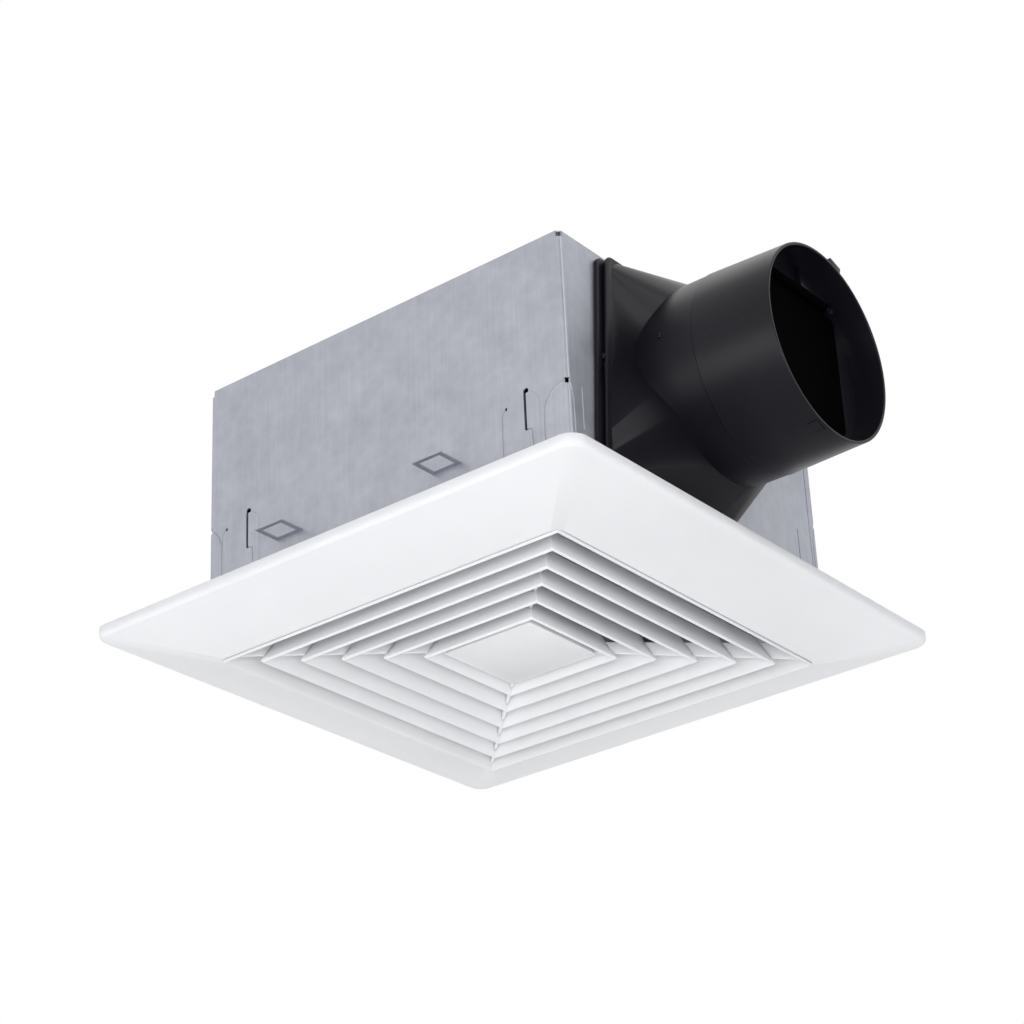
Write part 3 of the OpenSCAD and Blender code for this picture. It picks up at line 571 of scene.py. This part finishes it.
def duct_collar():
    """The round collar that the duct slips over: a thin tube that ends in a ring at the seam,
    with a square seat for the damper set back in its mouth."""
    tube = rod("collar_tube", SLEEVE_R + 0.4, ((SEAM_X + 0.5 + MOUTH_X) / 2, DUCT_Y, DUCT_Z), "X",
               MOUTH_X - SEAM_X - 0.5, sides=160, end_radius=COLLAR_R)
    cut(tube,
        rod("mouth", BORE_R, (MOUTH_X, DUCT_Y, DUCT_Z), "X", 2 * (MOUTH_X - FRAME_X), sides=160),
        rod("rear", BORE_R, (SEAM_X + 17, DUCT_Y, DUCT_Z), "X", 37.6, sides=160),
        slab("seat", SEAM_X - 2, FRAME_X + 5, DUCT_Y - THROAT, DUCT_Y + THROAT,
             DUCT_Z - THROAT, DUCT_Z + THROAT, THROAT_R))
    round_edges(tube, lambda a, b: min(a.x, b.x) > MOUTH_X - 0.1, 0.7, 3)
    seam = groove("parting_line", [(SEAM_X + 1, DUCT_Y - SLEEVE_R * 0.9965 - 0.3, DUCT_Z - 6),
                                   (MOUTH_X - 1.5, DUCT_Y - COLLAR_R * 0.9965 - 0.05, DUCT_Z - 6)],
                  0.22)

    # The land over the back end of the hinge stands 4 mm proud of the seat
    land = rod("hinge_land", BORE_R + 0.5, (FRAME_X + 1.5, DUCT_Y, DUCT_Z), "X", 5, sides=160)
    cut(land, block("below", (FRAME_X - 5, -200, 0), (FRAME_X + 9, 200, PIN_Z + 5)),
        block("front_half", (FRAME_X - 5, -200, 0), (FRAME_X + 9, DUCT_Y + 5, 260)))
    soften(land, 0.3)
    lugs = []
    for y in (DUCT_Y - HINGE_HALF, DUCT_Y + HINGE_HALF):
        lug = rod("hinge_lug", LUG_R, (PIN_X, y, PIN_Z), "Y", 2 * LUG_HALF, sides=32)
        arm = block("hinge_arm", (FRAME_X - 1, y - LUG_HALF, PIN_Z - LUG_R),
                    (PIN_X, y + LUG_HALF, PIN_Z + LUG_R))
        lugs.append(soften(weld(arm, lug), 0.3))

    # A stop on the rim's top, and the flat mark of its twin below
    stop = soften(block("rim_stop", (MOUTH_X - 9, DUCT_Y + COLLAR_R - 1, DUCT_Z - 6.5),
                        (MOUTH_X - 0.2, DUCT_Y + COLLAR_R + 4.2, DUCT_Z + 6.5)), 0.6)
    round_the_duct(stop, STOP_TURN)
    twin = block("rim_mark", (MOUTH_X - 10, DUCT_Y + COLLAR_R - 1, DUCT_Z - 5),
                 (MOUTH_X - 2, DUCT_Y + COLLAR_R + 0.5, DUCT_Z + 5))
    edit(twin, "FACE", lambda at, n: n.y > 0.9)
    bpy.ops.mesh.inset(thickness=0.0009, depth=-0.0006)
    leave()
    round_the_duct(twin, TWIN_TURN)
    piece = join("collar", tube, seam, land, *lugs, stop, twin)
    return dress(piece, BLACK, "housing", "black_moulding", "duct_collar", angle=32)


def damper_flap():
    """The backdraft flap: a square plate with a thin raised edge, hung on a round hinge bar."""
    half = THROAT + 2.5
    rear, front = FRAME_X + 0.3, FRAME_X + 1.9
    plate = slab("flap_plate", rear, front, DUCT_Y - half, DUCT_Y + half,
                 DUCT_Z - half, DUCT_Z + half, THROAT_R)
    edit(plate, "FACE", lambda at, n: n.x > 0.9)
    bpy.ops.mesh.inset(thickness=0.0012)
    bpy.ops.mesh.inset(thickness=0.0004, depth=-0.0005)
    leave()
    soften(plate, 0.2)
    bar_half = HINGE_HALF - 6
    web = block("flap_web", (rear, DUCT_Y - bar_half, PIN_Z - 6), (front, DUCT_Y + bar_half, PIN_Z))
    bar = soften(rod("flap_bar", 3.0, (PIN_X, DUCT_Y, PIN_Z), "Y", 2 * bar_half, sides=32), 0.3)
    for y in (DUCT_Y - HINGE_HALF, DUCT_Y + HINGE_HALF):
        cut(plate, block("notch", (FRAME_X - 2, y - 2.8, PIN_Z - 4),
                         (FRAME_X + 6, y + 2.8, PIN_Z + 4)))
    piece = join("flap", plate, web, bar)
    # The flap gets the near-black material, painted shade for the dark throat behind the mouth
    return dress(piece, FLAP_BLACK_PAINTED_SHADE, "damper", "black_moulding", "damper_flap", angle=32)


# Housing

SIDES = (-1, 1)
CORNERS = [(sx, sy) for sx in SIDES for sy in SIDES]
WALL_CORNER_R = 3.0
ARCH_RIGHT, ARCH_LEFT, ARCH_END = 20, 13, 6     # an arch's reach on the long and the end walls
ARCH_FOOT, ARCH_SPRING, ARCH_RISE = 6, 47, 20
ARCH_LINE, LANCE_LINE, STEP_LINE = 0.65, 0.7, 0.75
LANCES = ((127.5, 111.5), (-124.0, -145.0))     # along X: each tongue's slot, and its nick
# Pressed lines on the end walls: place along Y, lower and upper end, and radius
END_MARKS = ((-132.5, 36, 68, 0.6), (122, 30, 56, 0.8), (139, 16, 170, 0.7))
FLANGE_W, SCREW_R, SCREW_Y = 18, 2.75, 105
EAR_PLACES, EAR_Z, EAR_HALF, EAR_REACH = (59.5, -83.5), 38, 12.5, 22
KNOCKOUT_R, KNOCKOUT_Y, KNOCKOUT_Z = 11, 123.7, 62


def corner_notch(sx, sy):
    """The open corner where two walls and the lid meet."""
    return rod("top_notch", 3.6, (sx * WALL_X, sy * WALL_Y, WALL_TOP - 2), "Z", 7, sides=16)


def arch(sx, sy):
    """The pressed arch round one upright corner, with the hole and the fold line at its top."""
    wide = ARCH_RIGHT if sx > 0 else ARCH_LEFT

    def on_long_wall(a):
        return (sx * (WALL_X - wide * math.cos(a)), sy * WALL_Y,
                ARCH_SPRING + ARCH_RISE * math.sin(a))

    def on_end_wall(a):
        return (sx * WALL_X, sy * (WALL_Y - ARCH_END * math.cos(a)),
                ARCH_SPRING + ARCH_RISE * math.sin(a))

    long_leg = [on_long_wall(math.radians(a)) for a in range(0, 81, 10)]
    short_leg = [on_end_wall(math.radians(a)) for a in range(0, 71, 10)]
    fold = [(sx * (WALL_X - 0.95), sy * (WALL_Y - 0.95), z) for z in (-2, WALL_TOP)]
    crown = ARCH_SPRING + ARCH_RISE
    return [groove("arch_long", [(*long_leg[0][:2], ARCH_FOOT)] + long_leg, ARCH_LINE),
            groove("arch_short", [(*short_leg[0][:2], ARCH_FOOT)] + short_leg, ARCH_LINE),
            groove("fold_line", fold, 0.6),
            rod("arch_hole", 3.0, (sx * WALL_X, sy * WALL_Y, crown), "Z", 4, sides=16),
            corner_notch(sx, sy)]


def lance(shell, x, sy, nick):
    """A pressed tongue on a long wall: a raised pad with a slot, a relief hole and a nick."""
    y = sy * WALL_Y
    near, far = sorted((y - sy * 0.5, y + sy * 0.7))
    pad = block("lance_pad", (x - 16, near, 26), (x + 11.5, far, 70))
    round_edges(pad, lambda a, b: min(a.z, b.z) > 69 and abs(a.y - b.y) > 0.1, 9, 5)
    edit(pad, "FACE", lambda at, n: n.y * sy > 0.9)
    bpy.ops.transform.resize(value=(0.95, 1, 0.96))
    leave()
    shell = weld(shell, pad)
    face = far if sy > 0 else near
    return shell, [
        block("slot", (x - 1.0, near - 4, 42), (x + 1.0, far + 4, 71)),
        rod("slot_hole", 2.2, (x + 0.7, y, 71), "Y", 8, sides=16),
        rod("nick", 1.2, (nick, y, 63.5), "Y", 8, sides=12),
        groove("edge_line", [(nick - 1.2, y, 62.5), (nick - 3.5, y, 59), (nick - 3.5, y, 24)],
               LANCE_LINE),
        groove("step", [(x, face, 42), (x + 5, face, 41), (x + 6, face, 27)], STEP_LINE)]


def screw_flange():
    """The flange round the housing's mouth, with its four screw holes."""
    flange = block("screw_flange", (-WALL_X - FLANGE_W, -WALL_Y - FLANGE_W, -SHEET),
                   (WALL_X + FLANGE_W, WALL_Y + FLANGE_W, 0))
    cut(flange, block("mouth", (-WALL_X + 1, -WALL_Y + 1, -5), (WALL_X - 1, WALL_Y - 1, 5)),
        *[rod("screw_hole", SCREW_R, (i * (WALL_X + FLANGE_W / 2), j * SCREW_Y, 0), "Z", 6,
              sides=24) for i, j in CORNERS])
    return soften(flange, 0.25)


def hanger_ear(x, sy):
    """A tab bent out of a long wall, with its rectangular hole."""
    y0, y1 = sorted((sy * (WALL_Y - 0.5), sy * (WALL_Y + EAR_REACH)))
    ear = block("hanger_ear", (x - EAR_HALF, y0, EAR_Z), (x + EAR_HALF, y1, EAR_Z + SHEET))
    h0, h1 = sorted((sy * (WALL_Y + 3.5), sy * (WALL_Y + 18.5)))
    cut(ear, block("ear_hole", (x - 9, h0, EAR_Z - 3), (x + 9, h1, EAR_Z + 4)))
    return soften(ear, 0.25)


def housing_walls():
    """Folded galvanised sheet: the four walls with their pressed arches, lances and bent-out
    hanger ears, and the screw flange along the bottom."""
    walls = block("housing_walls", (-WALL_X, -WALL_Y, -0.5), (WALL_X, WALL_Y, WALL_TOP - SHEET))
    delete_faces(walls, lambda at, n: abs(n.z) > 0.9)
    round_edges(walls, lambda a, b: abs(a.z - b.z) > 50, WALL_CORNER_R, 4)
    thicken(walls, SHEET)
    cut(walls, block("outlet", (WALL_X - 8, -96, 29), (WALL_X + 8, 12, 177)),
        rod("knockout", KNOCKOUT_R, (-WALL_X, KNOCKOUT_Y, KNOCKOUT_Z), "X", 8, sides=40))
    for sx, sy in CORNERS:
        cut(walls, *arch(sx, sy))
    for x, nick in LANCES:
        for sy in SIDES:
            walls, tools = lance(walls, x, sy, nick)
            cut(walls, *tools)
    for sx in SIDES:
        for y, low, high, radius in END_MARKS:
            cut(walls, groove("end_mark", [(sx * WALL_X, y, low), (sx * WALL_X, y, high)], radius))
    flange = screw_flange()
    ears = [hanger_ear(x, sy) for sy in SIDES for x in EAR_PLACES]
    piece = join("housing_shell", walls, flange, *ears)
    return dress(piece, ZINC, "housing", "galvanised_sheet", "housing_front", "housing_back",
                 "housing_left", "housing_right", "hanger_ears", angle=30)


def housing_lid():
    """The lid: flat sheet with a shallow raised panel that stiffens it, and a turned-down rim."""
    lid = block("lid", (-WALL_X, -WALL_Y, WALL_TOP - 13), (WALL_X, WALL_Y, WALL_TOP))
    delete_faces(lid, lambda at, n: n.z < -0.9)
    # The rim leans in by 1.4 mm at its lower edge
    edit(lid, "VERT", lambda at: at.z < WALL_TOP - 5)
    bpy.ops.transform.resize(value=(1 - 1.4 / WALL_X, 1 - 1.4 / WALL_Y, 1))
    leave()
    edit(lid, "FACE", lambda at, n: n.z > 0.9)
    bpy.ops.mesh.inset(thickness=0.026)
    bpy.ops.mesh.inset(thickness=0.003, depth=0.0014)
    leave()
    # The raised panel's corners are the short edges well inside the lid
    round_edges(lid, lambda a, b: min(a.z, b.z) > WALL_TOP - 5 and abs(a.x) < 140
                and abs(a.y) < 125 and abs(a.x - b.x) < 6 and abs(a.y - b.y) < 6, 12, 5)
    # Rounder than the sheet is thick, so that the inner wall doesn't cross itself
    soften(lid, 1.3, 3, 12)
    modify(lid, "SOLIDIFY", thickness=SHEET / 1000, offset=-1)
    outward(lid)
    cut(lid, block("outlet_gap", (WALL_X - 8, -103, 100), (WALL_X + 8, 19, WALL_TOP - 2)),
        *[corner_notch(sx, sy) for sx, sy in CORNERS])
    return dress(lid, ZINC, "housing", "galvanised_sheet", "housing_lid", angle=30)


# Grille springs

WIRE_R, COIL_R, COIL_HALF = 1.1, 5.0, 2.3
POST_Y, POST_Z = 139.0, -10.2
ARM, ARM_SPREAD = 84, math.radians(6)


def grille_spring(name, sy):
    """A torsion spring of drawn wire: two and a half turns on its post, and two long arms that
    hook outwards over the bracket's slot."""
    y, z = sy * POST_Y, POST_Z

    def arm(side):
        foot = side * COIL_R
        tip = foot + side * ARM * math.sin(ARM_SPREAD)
        return [(tip + side * 7.5, y, z + 82.6), (tip + side * 1.5, y, z + 83), (tip, y, z + 81.5),
                (foot + (tip - foot) * 0.2, y, z + 17), (foot, y + side * COIL_HALF, z + 3)]

    turned = 900
    coil = [(-COIL_R * math.cos(math.radians(a)), y - COIL_HALF + 2 * COIL_HALF * a / turned,
             z - COIL_R * math.sin(math.radians(a))) for a in range(0, turned + 1, 20)]
    wire = groove(name + "_wire", arm(-1) + coil + arm(1)[::-1], WIRE_R)
    return dress(wire, STEEL, "grille", "plated_steel", name, angle=60)


grille_border()
louvre_panel()
housing_lid()
grille_spring("grille_spring_front", -1)
grille_spring("grille_spring_back", 1)
duct_adaptor()
duct_collar()
damper_flap()
housing_walls()

FINISHES = (
    (ZINC, "housing_front housing_back housing_left housing_right housing_lid hanger_ears "
           "scroll_casing blower_plate orifice_plate bell_mouth wheel_blades wheel_ring wheel_disc "
           "junction_box junction_cover"),
    (BLACK, "duct_collar damper_flap damper_pin capacitor duct_adaptor"),
    (WHITE, "grille_frame louvre_panel"),
    (STEEL, "wheel_nut motor_screws capacitor_clip cover_screws adaptor_screws motor_shaft "
            "spring_bracket_front spring_bracket_back grille_spring_front grille_spring_back "
            "bracket_rivets"),
    (MOTOR_STEEL, "motor"),
    (RUBBER, "rubber_mounts outlet_gasket"))
for finish, names in FINISHES:
    for name in names.split():
        NODES[name].data.materials.clear()
        NODES[name].data.materials.append(finish)


# Studio

def white_room():
    """A world that is white where it is seen, and lights the part softly."""
    world = bpy.data.worlds.new("white_room")
    bpy.context.scene.world = world
    world.use_nodes = True
    world.node_tree.nodes.clear()
    rays = add(world, "LightPath")
    mirrored = add(world, "Math", {0: (rays, "Is Glossy Ray"), 1: (rays, "Is Transmission Ray")},
                   operation="MAXIMUM")
    seen = add(world, "Math", {0: (rays, "Is Camera Ray"), 1: (mirrored, 0)}, operation="MAXIMUM")
    soft = add(world, "Background", {"Color": linear("#f2f4f8"), "Strength": 0.5})
    white = add(world, "Background", {"Color": linear("#ffffff")})
    pick = add(world, "MixShader", {0: (seen, 0), 1: (soft, 0), 2: (white, 0)})
    add(world, "OutputWorld", {"Surface": (pick, 0)})


def studio_floor():
    deselect()
    bpy.ops.mesh.primitive_plane_add(size=9, location=(0, 0, -0.86))
    floor = settle(bpy.context.object, "studio_floor")
    board = new_material("painted_board_white_matt")
    shader = add(board, "BsdfPrincipled", {"Base Color": linear("#f1f1f0"), "Roughness": 0.85})
    add(board, "OutputMaterial", {"Surface": (shader, "BSDF")})
    floor.data.materials.append(board)


def lamp(name, at, aim, size, power):
    """A soft rectangular lamp that lights the part and isn't seen itself."""
    data = bpy.data.lights.new(name, "AREA")
    data.shape = "RECTANGLE"
    data.size, data.size_y = size
    data.energy = power
    made = bpy.data.objects.new(name, data)
    bpy.context.scene.collection.objects.link(made)
    made.location = at
    made.rotation_euler = (Vector(aim) - Vector(at)).to_track_quat("-Z", "Y").to_euler()
    made.visible_camera = False
    return made


def photo_camera():
    """The camera fitted to the photograph's straight edges."""
    view = bpy.data.cameras.new("photo_camera")
    view.sensor_width = 36
    view.lens = 89.13
    view.dof.use_dof = False
    camera = bpy.data.objects.new("photo_camera", view)
    bpy.context.scene.collection.objects.link(camera)
    camera.location = (1.00169, -1.30185, -0.74843)
    camera.rotation_euler = [math.radians(a) for a in (116.832, 2.388, 38.836)]
    bpy.context.scene.camera = camera


bpy.context.scene.view_settings.view_transform = "Standard"
white_room()
studio_floor()
# The lamp below would show as a bright patch in the black collar
lamp("below_soft", (0.0, 0.0, -0.84), (0, 0, 0), (3.0, 3.0), 12).visible_glossy = False
lamp("front_soft", (-0.2, -2.4, -0.45), (0, 0, 0), (1.6, 1.2), 13)
lamp("low_fill", (1.25, -1.62, -0.76), (0, 0, -0.05), (1.4, 0.5), 21)
lamp("side_right", (2.3, 0.0, 1.1), (0.1, 0, 0.05), (0.8, 1.2), 6)
lamp("top_soft", (0.2, 0.4, 2.0), (0, 0, 0), (2.0, 2.0), 8)
photo_camera()
